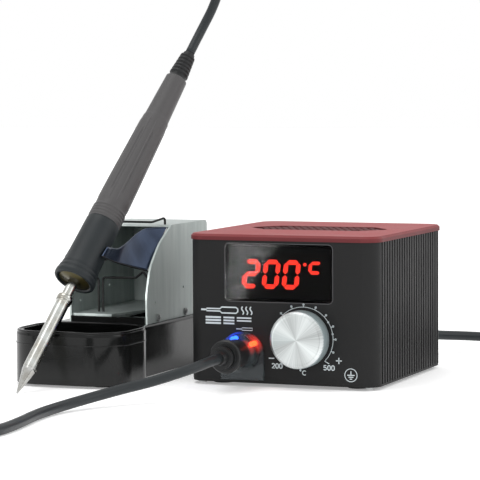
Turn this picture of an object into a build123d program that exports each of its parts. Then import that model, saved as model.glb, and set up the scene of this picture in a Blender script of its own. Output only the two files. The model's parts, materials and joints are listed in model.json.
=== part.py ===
from build123d import *
import os
from math import cos, pi, radians, sin, tan

# Soldering iron station: the temperature controller, the iron on its cable, and the bench stand
# that holds the iron.  Millimetres, +Z up, the controller's front faces -Y, and the origin lies on
# the bench under the middle of the whole object.

# ---------------------------------------------------------------- driving dimensions
CASE_LEFT = -9.4  # the case's left side
CASE_FRONT = -30.05  # the case's front face
CASE_W = 116.0
CASE_D = 126.0
CASE_TOP = 84.6  # underside of the lid
CASE_R = 10.0
CASE_WALL = 2.5
CASE_FOOT = 2.0
PLATE_T = 1.2  # bottom plate
RIB_COUNT = 24
RIB_GAP = 1.8
RIB_DEPTH = 1.0
PORT_R = 4.5  # screw ports in the corners of the extruded case
PORT_BORE = 1.4
PORT_INSET = 6.5
LID_H = 3.4
LID_LIP = 0.8
LID_BEVEL = 1.2
VENT_DEPTH = 1.0
SLIP = 0.15  # panels that drop into an opening
RUN = 0.05  # shafts that turn

WINDOW_X, WINDOW_Z = 56.85, 66.1  # front panel places are measured from its lower left corner
WINDOW_W, WINDOW_H = 66.7, 34.2
WINDOW_R = 3.0
WINDOW_FLANGE = 1.0
DIGIT_H, DIGIT_W = 16.9, 10.2
DIGIT_PITCH = 12.35
DIGIT_X, DIGIT_Z = 32.4, 56.6
DIGIT_BAR = 2.6
DIGIT_LEAN = 0.12
UNIT_X, UNIT_Z = 72.8, 66.5  # the small degree and c after the digits
UNIT_W, UNIT_H, UNIT_BAR = 8.0, 6.5, 1.9
MODULE_W, MODULE_H, MODULE_D = 62.0, 30.0, 9.0
BOARD_T = 1.6

KNOB_X, KNOB_Z = 72.0, 29.0
KNOB_R = 16.5
KNOB_OUT = 12.5
KNOB_GAP = 0.8
SHAFT_R = 3.0
BUSH_R = 3.5
POT_R, POT_D = 8.5, 9.0

SOCKET_X, SOCKET_Z = 34.8, 20.0
SOCKET_R = 7.0
BEZEL_W = 26.4
BEZEL_LOW, BEZEL_TOP = 3.9, 31.8
BEZEL_T = 2.0
COLLAR_R, COLLAR_OUT = 11.0, 11.0
COLLAR_BORE = 7.3
LED_R = 1.5
LED_PLACES = {"blue_led": (30.3, 27.7), "red_led": (42.0, 25.2)}
PLUG_OUT = 38.0

SWITCH_X, SWITCH_Z = 88.0, 60.0  # back panel places are measured from its lower corner at +X
SWITCH_W, SWITCH_H = 12.8, 19.0
ROCKER_TILT = 8.0
FUSE_X, FUSE_Z = 60.0, 60.0
FUSE_R = 6.0
MAINS_X, MAINS_Z = 34.5, 16.0
RELIEF_OUT = 24.0

IRON_LEAN = (0.16566, 0.61823, 0.76828)  # from the tip up along the iron
TIP_X, TIP_Y = -73.6, -74.8  # the tip's point, from the case's front left corner
BARREL_R = 4.1
COLLAR_FRONT_R = 12.7
GRIP_R = 10.1
IRON_LEN = 250.0

STAND_X = -62.0
TUB_W, TUB_FRONT, TUB_BACK, TUB_R = 72.0, -43.3, 14.5, 21.0
TAIL_X, TAIL_W, TAIL_BACK, TAIL_R = -63.2, 64.5, 125.0, 8.0
STAND_FOOT = 1.5
BASE_H = 32.0
BASE_WALL = 4.0
DECK_T = 4.0
BLOCK_H = 4.0
BRACKET_L, BRACKET_R = -84.2, -33.0
BRACKET_BACK = 108.0
BRACKET_TOP = 89.2
SHEET_T = 1.2
SCREW_R = 1.5
CRADLE_T = 0.7
GROOVE_R = 11.7
LIP_ANGLE = 14.0  # how far each lip of the groove rises above its middle
CRADLE_LOW, CRADLE_SLOPE = 68.5, 0.28  # the groove's lower end falls towards the back
WING_INSET = 0.9
WING_LOW_Y, WING_HIGH_Y = 22.5, 51.5

CABLE_R = 2.9
MAINS_R = 3.0
COIL_SPAN = 2.0  # turns side by side and on each other in the iron cable's coil

# ---------------------------------------------------------------- places worked out from them
case_x = CASE_LEFT + CASE_W / 2
case_y = CASE_FRONT + CASE_D / 2
case_low = CASE_FOOT + PLATE_T
case_back = CASE_FRONT + CASE_D
front = Plane(origin=(CASE_LEFT, CASE_FRONT, 0), x_dir=(1, 0, 0), z_dir=(0, -1, 0))
back = Plane(origin=(CASE_LEFT + CASE_W, case_back, 0), x_dir=(-1, 0, 0), z_dir=(0, 1, 0))


def at(x, y, z=0.0):
    """A place measured from the case's front left corner on the bench."""
    return (x + CASE_LEFT, y + CASE_FRONT, z)


def lathe_face(origin, direction, outline):
    """The half section of a turned piece: outline is a list of (distance along, radius)."""
    axis = Vector(*direction).normalized()
    side = axis.cross(Vector(0, 0, 1) if abs(axis.Z) < 0.99 else Vector(1, 0, 0)).normalized()
    plane = Plane(origin=origin, x_dir=side, z_dir=side.cross(axis))
    with BuildSketch(plane) as face:
        with BuildLine():
            Polyline(*[(radius, along) for along, radius in outline], close=True)
        make_face()
    return face.sketch


def panel_line(plane, x, z):
    """The axis that leaves a panel at x, z."""
    return Axis(plane.from_local_coords(Vector(x, z, 0)), plane.z_dir)


pieces = {}

# ---------------------------------------------------------------- case
with BuildPart() as case_shell:
    with BuildSketch(Plane.XY.offset(case_low)):
        with Locations((case_x, case_y)):
            RectangleRounded(CASE_W, CASE_D, CASE_R)
            RectangleRounded(
                CASE_W - 2 * CASE_WALL, CASE_D - 2 * CASE_WALL, CASE_R - CASE_WALL, mode=Mode.SUBTRACT
            )
            with GridLocations(CASE_W, (CASE_D - 2 * CASE_R - RIB_GAP) / (RIB_COUNT - 1), 2, RIB_COUNT):
                Rectangle(2 * RIB_DEPTH, RIB_GAP, mode=Mode.SUBTRACT)
            with GridLocations(CASE_W - 2 * PORT_INSET, CASE_D - 2 * PORT_INSET, 2, 2):
                Circle(PORT_R)
                Circle(PORT_BORE, mode=Mode.SUBTRACT)
    extrude(amount=CASE_TOP - case_low)
    with BuildSketch(front):
        with Locations((WINDOW_X, WINDOW_Z)):
            RectangleRounded(WINDOW_W, WINDOW_H, WINDOW_R)
        with Locations((KNOB_X, KNOB_Z)):
            Circle(BUSH_R + RUN)
        with Locations((SOCKET_X, SOCKET_Z)):
            Circle(SOCKET_R + RUN)
        with Locations(*LED_PLACES.values()):
            Circle(LED_R + RUN)
    extrude(amount=-CASE_WALL, mode=Mode.SUBTRACT)
    with BuildSketch(back):
        with Locations((SWITCH_X, SWITCH_Z)):
            Rectangle(SWITCH_W + SLIP, SWITCH_H + SLIP)
        with Locations((FUSE_X, FUSE_Z)):
            Circle(FUSE_R + RUN)
        with Locations((MAINS_X, MAINS_Z)):
            Circle(MAINS_R + 1.5)
    extrude(amount=-CASE_WALL, mode=Mode.SUBTRACT)
pieces["case_shell"] = case_shell

with BuildPart() as top_lid:
    with BuildSketch(Plane.XY.offset(CASE_TOP)):
        with Locations((case_x, case_y)):
            RectangleRounded(CASE_W + 2 * LID_LIP, CASE_D + 2 * LID_LIP, CASE_R + LID_LIP)
    extrude(amount=LID_H)
    chamfer(top_lid.faces().sort_by(Axis.Z)[-1].edges(), LID_BEVEL)
    with BuildSketch(Plane(origin=(case_x, case_y + 2, CASE_TOP + LID_H))):
        with BuildLine():
            Polyline((-44, 0), (-30, 17), (30, 17), (44, 0), (30, -17), (-30, -17), close=True)
        make_face()
    extrude(amount=-VENT_DEPTH, mode=Mode.SUBTRACT)
    with Locations((case_x, case_y, CASE_TOP)):
        with GridLocations(CASE_W - 2 * PORT_INSET, CASE_D - 2 * PORT_INSET, 2, 2):
            Cylinder(PORT_BORE - RUN, 8, align=(Align.CENTER, Align.CENTER, Align.MAX))
pieces["top_lid"] = top_lid

with BuildPart() as bottom_plate:
    with BuildSketch(Plane.XY.offset(CASE_FOOT)):
        with Locations((case_x, case_y)):
            RectangleRounded(CASE_W - 2 * SLIP, CASE_D - 2 * SLIP, CASE_R)
            with GridLocations(CASE_W - 2 * PORT_INSET, CASE_D - 2 * PORT_INSET, 2, 2):
                Circle(PORT_BORE + 0.2, mode=Mode.SUBTRACT)
    extrude(amount=PLATE_T)
pieces["bottom_plate"] = bottom_plate

with BuildPart() as case_screws:
    with Locations((case_x, case_y, CASE_FOOT)):
        with GridLocations(CASE_W - 2 * PORT_INSET, CASE_D - 2 * PORT_INSET, 2, 2):
            Cylinder(2.6, 1.2, align=(Align.CENTER, Align.CENTER, Align.MAX))
            Cylinder(PORT_BORE - RUN, 10, align=(Align.CENTER, Align.CENTER, Align.MIN))
pieces["case_screws"] = case_screws

with BuildPart() as rubber_feet:
    with Locations((case_x, case_y, 0)):
        with GridLocations(CASE_W - 5 * PORT_INSET, CASE_D - 5 * PORT_INSET, 2, 2):
            Cylinder(6, CASE_FOOT, align=(Align.CENTER, Align.CENTER, Align.MIN))
pieces["rubber_feet"] = rubber_feet

# ---------------------------------------------------------------- display
with BuildPart() as display_window:
    with BuildSketch(front):
        with Locations((WINDOW_X, WINDOW_Z)):
            RectangleRounded(WINDOW_W - 2 * SLIP, WINDOW_H - 2 * SLIP, WINDOW_R - SLIP)
    extrude(amount=-CASE_WALL)
    with BuildSketch(front.offset(-CASE_WALL)):
        with Locations((WINDOW_X, WINDOW_Z)):
            Rectangle(WINDOW_W + 2 * WINDOW_FLANGE, WINDOW_H + 2 * WINDOW_FLANGE)
    extrude(amount=-WINDOW_FLANGE)
pieces["display_window"] = display_window

module_face = CASE_WALL + WINDOW_FLANGE + 0.8
with BuildPart() as display_module:
    with BuildSketch(front.offset(-module_face)):
        with Locations((WINDOW_X, WINDOW_Z)):
            Rectangle(MODULE_W, MODULE_H)
    extrude(amount=-MODULE_D)
pieces["display_module"] = display_module


def lean(x, z, base):
    """Shear a point of a digit to the right as it rises."""
    return (x + DIGIT_LEAN * (z - base), z)


def bar(start, end, base, width):
    """One lit segment: a bar with pointed ends between two points of the digit's frame."""
    (x0, z0), (x1, z1) = start, end
    half = width / 2
    gap = half * 0.25
    if z0 == z1:
        outline = [(x0 + gap, z0), (x0 + gap + half, z0 + half), (x1 - gap - half, z0 + half)]
        outline += [(x1 - gap, z0), (x1 - gap - half, z0 - half), (x0 + gap + half, z0 - half)]
    else:
        outline = [(x0, z0 + gap), (x0 - half, z0 + gap + half), (x0 - half, z1 - gap - half)]
        outline += [(x0, z1 - gap), (x0 + half, z1 - gap - half), (x0 + half, z0 + gap + half)]
    return [lean(x, z, base) for x, z in outline]


def digit_bars(lit, x, z, width, height, thick):
    """The lit segments of a seven-segment figure, as outlines; lit holds the usual letters a to g."""
    left, right = x + thick / 2, x + width - thick / 2
    low, high = z + thick / 2, z + height - thick / 2
    mid = (low + high) / 2
    ends = {
        "a": ((left, high), (right, high)),
        "b": ((right, mid), (right, high)),
        "c": ((right, low), (right, mid)),
        "d": ((left, low), (right, low)),
        "e": ((left, low), (left, mid)),
        "f": ((left, mid), (left, high)),
        "g": ((left, mid), (right, mid)),
    }
    return [bar(*ends[name], z, thick) for name in lit]


lit_bars = []
for place, lit in enumerate(("abged", "abcdef", "abcdef")):
    left = DIGIT_X + place * DIGIT_PITCH
    lit_bars += digit_bars(lit, left, DIGIT_Z, DIGIT_W, DIGIT_H, DIGIT_BAR)
lit_bars += digit_bars("agf", UNIT_X, UNIT_Z - UNIT_H, UNIT_W, 2 * UNIT_H, UNIT_BAR)
with BuildPart() as display_digits:
    with BuildSketch(front.offset(-module_face)):
        for outline in lit_bars:
            with BuildLine():
                Polyline(*outline, close=True)
            make_face()
        with Locations((UNIT_X - 1.2, UNIT_Z + UNIT_H - UNIT_BAR)):
            Circle(UNIT_BAR / 2)
    extrude(amount=0.5)
pieces["display_digits"] = display_digits

with BuildPart() as display_board:
    with BuildSketch(front.offset(-module_face - MODULE_D)):
        with Locations((WINDOW_X, WINDOW_Z)):
            Rectangle(MODULE_W + 14, MODULE_H + 3)
    extrude(amount=-BOARD_T)
pieces["display_board"] = display_board

# ---------------------------------------------------------------- temperature knob
knob_line = panel_line(front, KNOB_X, KNOB_Z)
knob_floor = KNOB_GAP + 6.0
with BuildPart() as knob:
    outline = [(KNOB_GAP, KNOB_R - 4), (KNOB_GAP, KNOB_R), (KNOB_OUT - 1.2, KNOB_R)]
    outline += [(KNOB_OUT, KNOB_R - 1.2), (KNOB_OUT, 0), (KNOB_OUT - 1.6, 0)]
    outline += [(KNOB_OUT - 1.6, SHAFT_R), (knob_floor, SHAFT_R), (knob_floor, KNOB_R - 4)]
    revolve(lathe_face(knob_line.position, knob_line.direction, outline), axis=knob_line)
pieces["knob"] = knob

with BuildPart() as pot_shaft:
    outline = [(-CASE_WALL - POT_D + 2, 0), (-CASE_WALL - POT_D + 2, SHAFT_R)]
    outline += [(KNOB_OUT - 1.6, SHAFT_R), (KNOB_OUT - 1.6, 0)]
    revolve(lathe_face(knob_line.position, knob_line.direction, outline), axis=knob_line)
pieces["pot_shaft"] = pot_shaft

with BuildPart() as potentiometer:
    outline = [(-CASE_WALL - POT_D, 0), (-CASE_WALL - POT_D, POT_R), (-CASE_WALL, POT_R)]
    outline += [(-CASE_WALL, BUSH_R), (knob_floor - 1.8, BUSH_R), (knob_floor - 1.8, SHAFT_R + RUN)]
    outline += [(-CASE_WALL - POT_D + 1.9, SHAFT_R + RUN), (-CASE_WALL - POT_D + 1.9, 0)]
    revolve(lathe_face(knob_line.position, knob_line.direction, outline), axis=knob_line)
pieces["potentiometer"] = potentiometer

with BuildPart() as pot_nut:
    with BuildSketch(front):
        with Locations((KNOB_X, KNOB_Z)):
            RegularPolygon(BUSH_R + 2.3, 6)
            Circle(BUSH_R + RUN, mode=Mode.SUBTRACT)
    extrude(amount=2.2)
pieces["pot_nut"] = pot_nut

# ---------------------------------------------------------------- iron socket, its bezel and lamps
with BuildPart() as socket_bezel:
    with BuildSketch(front):
        arch_z = BEZEL_TOP - BEZEL_W / 2
        with Locations((SOCKET_X, (arch_z + BEZEL_LOW) / 2)):
            Rectangle(BEZEL_W, arch_z - BEZEL_LOW)
        with Locations((SOCKET_X, arch_z)):
            Circle(BEZEL_W / 2)
    extrude(amount=BEZEL_T)
    with BuildSketch(front):
        with Locations((SOCKET_X, SOCKET_Z)):
            Circle(COLLAR_R)
    extrude(amount=COLLAR_OUT)
    with BuildSketch(front):
        with Locations((SOCKET_X, SOCKET_Z)):
            Circle(COLLAR_BORE)
    extrude(amount=COLLAR_OUT, mode=Mode.SUBTRACT)
    with BuildSketch(front):
        with Locations(*LED_PLACES.values()):
            Circle(LED_R + RUN)
    extrude(amount=6.5, mode=Mode.SUBTRACT)
pieces["socket_bezel"] = socket_bezel

for name, place in LED_PLACES.items():
    with BuildPart() as lamp:
        line = panel_line(front, *place)
        outline = [(-CASE_WALL, 0), (-CASE_WALL, LED_R), (5, LED_R), (6.2, LED_R - 0.8), (6.4, 0)]
        revolve(lathe_face(line.position, line.direction, outline), axis=line)
    pieces[name] = lamp

socket_line = panel_line(front, SOCKET_X, SOCKET_Z)
with BuildPart() as iron_socket:
    with BuildSketch(front.offset(1)):
        with Locations((SOCKET_X, SOCKET_Z)):
            Circle(SOCKET_R)
    extrude(amount=-15)
    with BuildSketch(front.offset(1)):
        with Locations((SOCKET_X, SOCKET_Z)):
            with PolarLocations(3.4, 5):
                Circle(0.7)
    extrude(amount=-8, mode=Mode.SUBTRACT)
pieces["iron_socket"] = iron_socket

with BuildPart() as socket_nut:
    with BuildSketch(front.offset(-CASE_WALL)):
        with Locations((SOCKET_X, SOCKET_Z)):
            RegularPolygon(SOCKET_R + 3, 6)
            Circle(SOCKET_R + RUN, mode=Mode.SUBTRACT)
    extrude(amount=-2.5)
pieces["socket_nut"] = socket_nut

with BuildPart() as iron_plug:
    outline = [(1.3, 0), (1.3, SOCKET_R - 0.2), (COLLAR_OUT + 0.3, SOCKET_R - 0.2), (COLLAR_OUT + 0.3, 8.5)]
    outline += [(23, 8.5), (23, 9.2), (24, 9.6), (27.5, 9.6), (28.2, 8.9), (28.2, 7.4), (29.6, 7.0)]
    outline += [(29.6, 5.4), (31, 5.4), (31, 6.6), (33.4, 6.4), (33.4, 4.6), (PLUG_OUT, 3.8), (PLUG_OUT, 0)]
    revolve(lathe_face(socket_line.position, socket_line.direction, outline), axis=socket_line)
pieces["iron_plug"] = iron_plug

# ---------------------------------------------------------------- electronics
board_x, board_y, board_z = CASE_W - 30.0, 62.0, case_low + 6.0
with BuildPart() as control_board:
    with Locations(at(board_x, board_y, board_z)):
        Box(40, 84, BOARD_T, align=(Align.CENTER, Align.CENTER, Align.MIN))
pieces["control_board"] = control_board

with BuildPart() as board_standoffs:
    with Locations(at(board_x, board_y, case_low)):
        with GridLocations(32, 76, 2, 2):
            Cylinder(3, board_z - case_low, align=(Align.CENTER, Align.CENTER, Align.MIN))
pieces["board_standoffs"] = board_standoffs

with BuildPart() as smoothing_capacitors:
    with Locations(at(board_x - 8, board_y + 18, board_z + BOARD_T)):
        with GridLocations(0, 16, 1, 2):
            Cylinder(6, 20, align=(Align.CENTER, Align.CENTER, Align.MIN))
pieces["smoothing_capacitors"] = smoothing_capacitors

with BuildPart() as heat_sink:
    with Locations(at(board_x + 8, board_y, board_z + BOARD_T)):
        Box(3, 36, 26, align=(Align.CENTER, Align.CENTER, Align.MIN))
        with GridLocations(0, 5.5, 1, 7):
            Box(12, 1.5, 26, align=(Align.CENTER, Align.CENTER, Align.MIN))
pieces["heat_sink"] = heat_sink

core_x, core_y = 36.0, 88.0
CORE_W, CORE_D, CORE_H = 54.0, 24.0, 45.0
with BuildPart() as transformer_core:
    with Locations(at(core_x, core_y, case_low)):
        Box(CORE_W, CORE_D, CORE_H, align=(Align.CENTER, Align.CENTER, Align.MIN))
    with Locations(at(core_x, core_y, case_low + CORE_H / 2)):
        with GridLocations(CORE_W / 2 - 1, 0, 2, 1):
            Box(CORE_W / 6, CORE_D, CORE_H * 0.64, mode=Mode.SUBTRACT)
pieces["transformer_core"] = transformer_core

with BuildPart() as transformer_windings:
    with Locations(at(core_x, core_y, case_low + CORE_H / 2)):
        Box(CORE_W * 0.64, CORE_D + 16, CORE_H * 0.62)
        Box(CORE_W / 2 - 1 - CORE_W / 6, CORE_D + 16, CORE_H * 0.64 + 1, mode=Mode.SUBTRACT)
        with GridLocations(0, CORE_D + 8, 1, 2):
            Box(CORE_W * 0.64, 8, CORE_H * 0.62)
pieces["transformer_windings"] = transformer_windings

# ---------------------------------------------------------------- back panel
with BuildPart() as switch_housing:
    with BuildSketch(back):
        with Locations((SWITCH_X, SWITCH_Z)):
            RectangleRounded(SWITCH_W + 2.4, SWITCH_H + 2.4, 1.2)
    extrude(amount=1.6)
    with BuildSketch(back):
        with Locations((SWITCH_X, SWITCH_Z)):
            Rectangle(SWITCH_W, SWITCH_H)
    extrude(amount=-14)
    with BuildSketch(back.offset(1.6)):
        with Locations((SWITCH_X, SWITCH_Z)):
            Rectangle(SWITCH_W - 2.6, SWITCH_H - 2.6)
    extrude(amount=-12, mode=Mode.SUBTRACT)
pieces["switch_housing"] = switch_housing

rocker_pivot = back.from_local_coords(Vector(SWITCH_X, SWITCH_Z, -2.5))
with BuildPart() as switch_rocker:
    half = (SWITCH_W - 3.2) / 2
    out = (0, cos(radians(ROCKER_TILT)), sin(radians(ROCKER_TILT)))
    with BuildSketch(Plane(origin=rocker_pivot - Vector(half, 0, 0), x_dir=out, z_dir=(1, 0, 0))):
        with BuildLine():
            Polyline((3.4, 0), (4.8, 6.6), (-1, 6.6), (-4, 2), (-4, -2), (-1, -6.6), (4.8, -6.6), close=True)
        make_face()
    extrude(amount=2 * half)
pieces["switch_rocker"] = switch_rocker

fuse_line = panel_line(back, FUSE_X, FUSE_Z)
with BuildPart() as fuse_holder:
    outline = [(-24, 0), (-24, FUSE_R), (0, FUSE_R), (0, 8), (2, 8), (2, 0)]
    revolve(lathe_face(fuse_line.position, fuse_line.direction, outline), axis=fuse_line)
pieces["fuse_holder"] = fuse_holder

with BuildPart() as fuse_cap:
    outline = [(2, 0), (2, 6.2), (8.5, 5.8), (9.2, 5), (9.2, 0)]
    revolve(lathe_face(fuse_line.position, fuse_line.direction, outline), axis=fuse_line)
    with BuildSketch(back.offset(9.2)):
        with Locations((FUSE_X, FUSE_Z)):
            Rectangle(8, 1.4)
    extrude(amount=-1.5, mode=Mode.SUBTRACT)
pieces["fuse_cap"] = fuse_cap

mains_line = panel_line(back, MAINS_X, MAINS_Z)
with BuildPart() as mains_strain_relief:
    throat = MAINS_R + 1.4
    outline = [(-CASE_WALL - 3, 0), (-CASE_WALL - 3, throat + 1.6), (-CASE_WALL, throat + 1.6)]
    outline += [(-CASE_WALL, throat), (0, throat), (0, throat + 2.2), (2.5, throat + 2.2)]
    outline += [(2.5, throat + 0.6), (RELIEF_OUT, MAINS_R + 0.8), (RELIEF_OUT, 0)]
    revolve(lathe_face(mains_line.position, mains_line.direction, outline), axis=mains_line)
pieces["mains_strain_relief"] = mains_strain_relief

# ---------------------------------------------------------------- iron
tip_point = Vector(*at(TIP_X, TIP_Y, 0.35))
iron_line = Axis(tip_point, IRON_LEAN)
iron_outlines = {
    "iron_tip": [(0, 0), (0.1, 0.45), (15.6, 3.9), (17.2, 3.9), (17.2, 3.2), (40, 3.2), (40, 2.2), (22, 2.2), (22, 0)],
    "tip_barrel": [(17.2, BARREL_R - 0.8), (17.2, BARREL_R), (64, BARREL_R), (64, BARREL_R - 0.8)],
    "barrel_nut": [(64, 2.25), (64, 4.7), (67, 4.7), (68, 3.2), (86, 3.2), (86, 2.25)],
    "heater_element": [(23, 0), (23, 2.1), (132, 2.1), (132, 0)],
    "front_collar": [
        (83, 3.25), (83, 8.6), (78.4, 9.6), (78, 11.8), (79, COLLAR_FRONT_R), (82, COLLAR_FRONT_R),
        (84, 11.9), (90, 10.9), (121, 10.25), (121, 3.25),
    ],
    "handle_shell": [
        (121, 5.2), (121, 10.5), (129, 10.5), (129.5, GRIP_R), (150, 9.7), (198, 8.3), (199, 7.7),
        (230, 6.8), (230, 4.8), (226, 4.8), (226, 5.2),
    ],
    "iron_strain_relief": [(220, 0), (220, 5.1), (225.9, 5.1), (225.9, 4.7), (230.1, 4.7), (230.1, 5.3), (IRON_LEN, 4.5), (IRON_LEN, 0)],
}
for name, outline in iron_outlines.items():
    with BuildPart() as turned:
        revolve(lathe_face(tip_point, IRON_LEAN, outline), axis=iron_line)
    pieces[name] = turned

with BuildPart() as handle_board:
    board_plane = Plane(origin=iron_line.position + iron_line.direction * 140, z_dir=iron_line.direction)
    with BuildSketch(board_plane):
        Rectangle(8, 1.2)
    extrude(amount=46)
pieces["handle_board"] = handle_board

# ---------------------------------------------------------------- stand
tub_y, tub_d = (TUB_FRONT + TUB_BACK) / 2, TUB_BACK - TUB_FRONT
with BuildPart() as stand_base:
    with BuildSketch(Plane.XY.offset(STAND_FOOT)):
        with Locations(at(STAND_X, tub_y)):
            RectangleRounded(TUB_W, tub_d, TUB_R)
        with Locations(at(TAIL_X, TAIL_BACK / 2)):
            RectangleRounded(TAIL_W, TAIL_BACK, TAIL_R)
    extrude(amount=BASE_H - STAND_FOOT)
    fillet(stand_base.faces().sort_by(Axis.Z)[-1].edges(), 2.4)
    with BuildSketch(Plane.XY.offset(BASE_H)):
        with Locations(at(STAND_X, tub_y)):
            RectangleRounded(TUB_W - 2 * BASE_WALL, tub_d - 2 * BASE_WALL, TUB_R - BASE_WALL)
    extrude(amount=STAND_FOOT + BASE_WALL - BASE_H, mode=Mode.SUBTRACT)
    with BuildSketch(Plane.XY.offset(STAND_FOOT)):
        with Locations(at(TAIL_X, (TUB_BACK + BASE_WALL + TAIL_BACK - 14) / 2)):
            Rectangle(TAIL_W - 2 * BASE_WALL, TAIL_BACK - 14 - TUB_BACK - BASE_WALL)
    extrude(amount=BASE_H - DECK_T - STAND_FOOT, mode=Mode.SUBTRACT)
    block_w = BRACKET_R - BRACKET_L - 2 * SHEET_T - 2 * SLIP
    with BuildSketch(Plane.XY.offset(BASE_H)):
        with Locations(at((BRACKET_L + BRACKET_R) / 2, (TUB_BACK + BRACKET_BACK - SHEET_T) / 2)):
            Rectangle(block_w, BRACKET_BACK - SHEET_T - TUB_BACK - 2 * SLIP)
    extrude(amount=BLOCK_H)
    with Locations(at(BRACKET_R - 9, 44, BASE_H)):
        Box(11, 46, BLOCK_H, align=(Align.CENTER, Align.CENTER, Align.MIN), mode=Mode.SUBTRACT)
pieces["stand_base"] = stand_base

with BuildPart() as stand_feet:
    with Locations(at(STAND_X, TUB_FRONT + 16)):
        with GridLocations(40, 0, 2, 1):
            Cylinder(6, STAND_FOOT, align=(Align.CENTER, Align.CENTER, Align.MIN))
    with Locations(at(TAIL_X, TAIL_BACK - 7)):
        with GridLocations(40, 0, 2, 1):
            Cylinder(6, STAND_FOOT, align=(Align.CENTER, Align.CENTER, Align.MIN))
pieces["stand_feet"] = stand_feet

shelf_z = BASE_H + BLOCK_H
screw_z = BASE_H + BLOCK_H / 2 + 0.6
side_plane = Plane(origin=at(BRACKET_L, 0), x_dir=(0, 1, 0), z_dir=(1, 0, 0))
with BuildPart() as stand_bracket:
    with BuildSketch(side_plane):
        with BuildLine():
            FilletPolyline(
                (16, BASE_H), (15.5, 49), (21, 65.5), (35, 79), (53, BRACKET_TOP),
                (BRACKET_BACK, BRACKET_TOP), (BRACKET_BACK, BASE_H), radius=[25, 25, 40, 4, 3],
            )
            Line((BRACKET_BACK, BASE_H), (16, BASE_H))
        make_face()
    extrude(amount=BRACKET_R - BRACKET_L)
    inner = side_plane.offset(SHEET_T)
    with BuildSketch(inner):
        with Locations(((BRACKET_BACK - SHEET_T) / 2, BRACKET_TOP / 2)):
            Rectangle(BRACKET_BACK - SHEET_T, BRACKET_TOP - 2 * SHEET_T)
    extrude(amount=BRACKET_R - BRACKET_L - 2 * SHEET_T, mode=Mode.SUBTRACT)
    with BuildSketch(Plane(origin=at(0, 0, shelf_z))):
        with BuildLine():
            Polyline(
                (BRACKET_L, 18), (-57.5, 18), (-49, 51), (-49, BRACKET_BACK), (BRACKET_L, BRACKET_BACK),
                close=True,
            )
        make_face()
    extrude(amount=SHEET_T)
    with BuildSketch(side_plane):
        with Locations((73, screw_z), (32, screw_z)):
            Circle(SCREW_R + SLIP)
        with Locations((70, 50), (28, 44)):
            Circle(0.8)
    extrude(amount=BRACKET_R - BRACKET_L, mode=Mode.SUBTRACT)
pieces["stand_bracket"] = stand_bracket

with BuildPart() as bracket_screws:
    for face_x, outward in ((BRACKET_L, -1), (BRACKET_R, 1)):
        for y in (73, 32):
            line = Axis(at(face_x, y, screw_z), (outward, 0, 0))
            outline = [(-SHEET_T - 0.1, 0), (-SHEET_T - 0.1, SCREW_R), (0, SCREW_R), (0, 2.2), (1.2, 1.8), (1.2, 0)]
            revolve(lathe_face(line.position, line.direction, outline), axis=line)
pieces["bracket_screws"] = bracket_screws

# The cradle is one sheet: a groove under the iron's collar, and a wing from each of its lips to a wall.
groove_right = iron_line.direction.cross(Vector(0, 0, 1)).normalized()
groove_up = groove_right.cross(iron_line.direction)
high_cut = Plane(origin=(0, 0, BRACKET_TOP - SHEET_T - 0.4))
low_cut = Plane(origin=at(0, 0, CRADLE_LOW), x_dir=(1, 0, 0), z_dir=(0, CRADLE_SLOPE, 1))


def wing_section(cut, angle, wall_x, wall_y):
    """The thin bar that a wing shows where a plane cuts it: from a groove's lip to a wall."""
    spoke = (groove_right * cos(radians(angle)) + groove_up * sin(radians(angle))) * (GROOVE_R + CRADLE_T / 2)
    lip = cut.to_local_coords(cut.intersect(Axis(tip_point + spoke, iron_line.direction)))
    reach = cut.to_local_coords(cut.intersect(Axis(at(wall_x, wall_y), (0, 0, 1))))
    side = (reach - lip).normalized().cross(Vector(0, 0, 1)) * CRADLE_T / 2
    with BuildSketch(cut) as section:
        with BuildLine():
            Polyline(lip + side, reach + side, reach - side, lip - side, close=True)
        make_face()
    return section.sketch


with BuildPart() as cradle_sheet:
    outline = [(0, GROOVE_R), (0, GROOVE_R + CRADLE_T), (IRON_LEN, GROOVE_R + CRADLE_T), (IRON_LEN, GROOVE_R)]
    groove = lathe_face(tip_point, iron_line.direction, outline).rotate(iron_line, -LIP_ANGLE)
    revolve(groove, axis=iron_line, revolution_arc=180 + 2 * LIP_ANGLE)
    split(bisect_by=high_cut, keep=Keep.BOTTOM)
    split(bisect_by=low_cut, keep=Keep.TOP)
    for angle, wall_x in (
        (LIP_ANGLE, BRACKET_R - SHEET_T - WING_INSET),
        (180 - LIP_ANGLE, BRACKET_L + SHEET_T + WING_INSET),
    ):
        sections = [
            wing_section(low_cut, angle, wall_x, WING_LOW_Y),
            wing_section(high_cut, angle, wall_x, WING_HIGH_Y),
        ]
        loft(sections, ruled=True)
pieces["cradle_sheet"] = cradle_sheet


def bent_wire(points, radius, bend):
    """A wire of round section bent at each point."""
    with BuildPart() as wire:
        with BuildLine() as path:
            FilletPolyline(*points, radius=bend)
        with BuildSketch(Plane(origin=path.line @ 0, z_dir=path.line % 0)):
            Circle(radius)
        sweep(path=path.line)
    return wire


WIRE_R = 0.7
shelf_top = shelf_z + SHEET_T
pieces["front_wire"] = bent_wire(
    [
        at(-68.5, 30, shelf_top), at(-68.5, 30, 58), at(-46, 28, 58.5), at(-40, 26, 62.5),
        at(-34.9, 22, 58.6),
    ],
    WIRE_R, 1.6,
)
pieces["rear_wire"] = bent_wire(
    [at(-71.5, 30, shelf_top), at(-71.5, 30, 57), at(-76, 27, 60.5), at(-82.4, 24, 60.5)], WIRE_R, 1.6
)
pieces["top_wire"] = bent_wire(
    [
        at(-79, 56.5, BRACKET_TOP), at(-79, 56.5, BRACKET_TOP + 4), at(-76, 44, BRACKET_TOP + 2),
        at(-42, 44, BRACKET_TOP + 2), at(-39, 56.5, BRACKET_TOP + 4), at(-39, 56.5, BRACKET_TOP),
    ],
    WIRE_R, 1.6,
)

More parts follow.
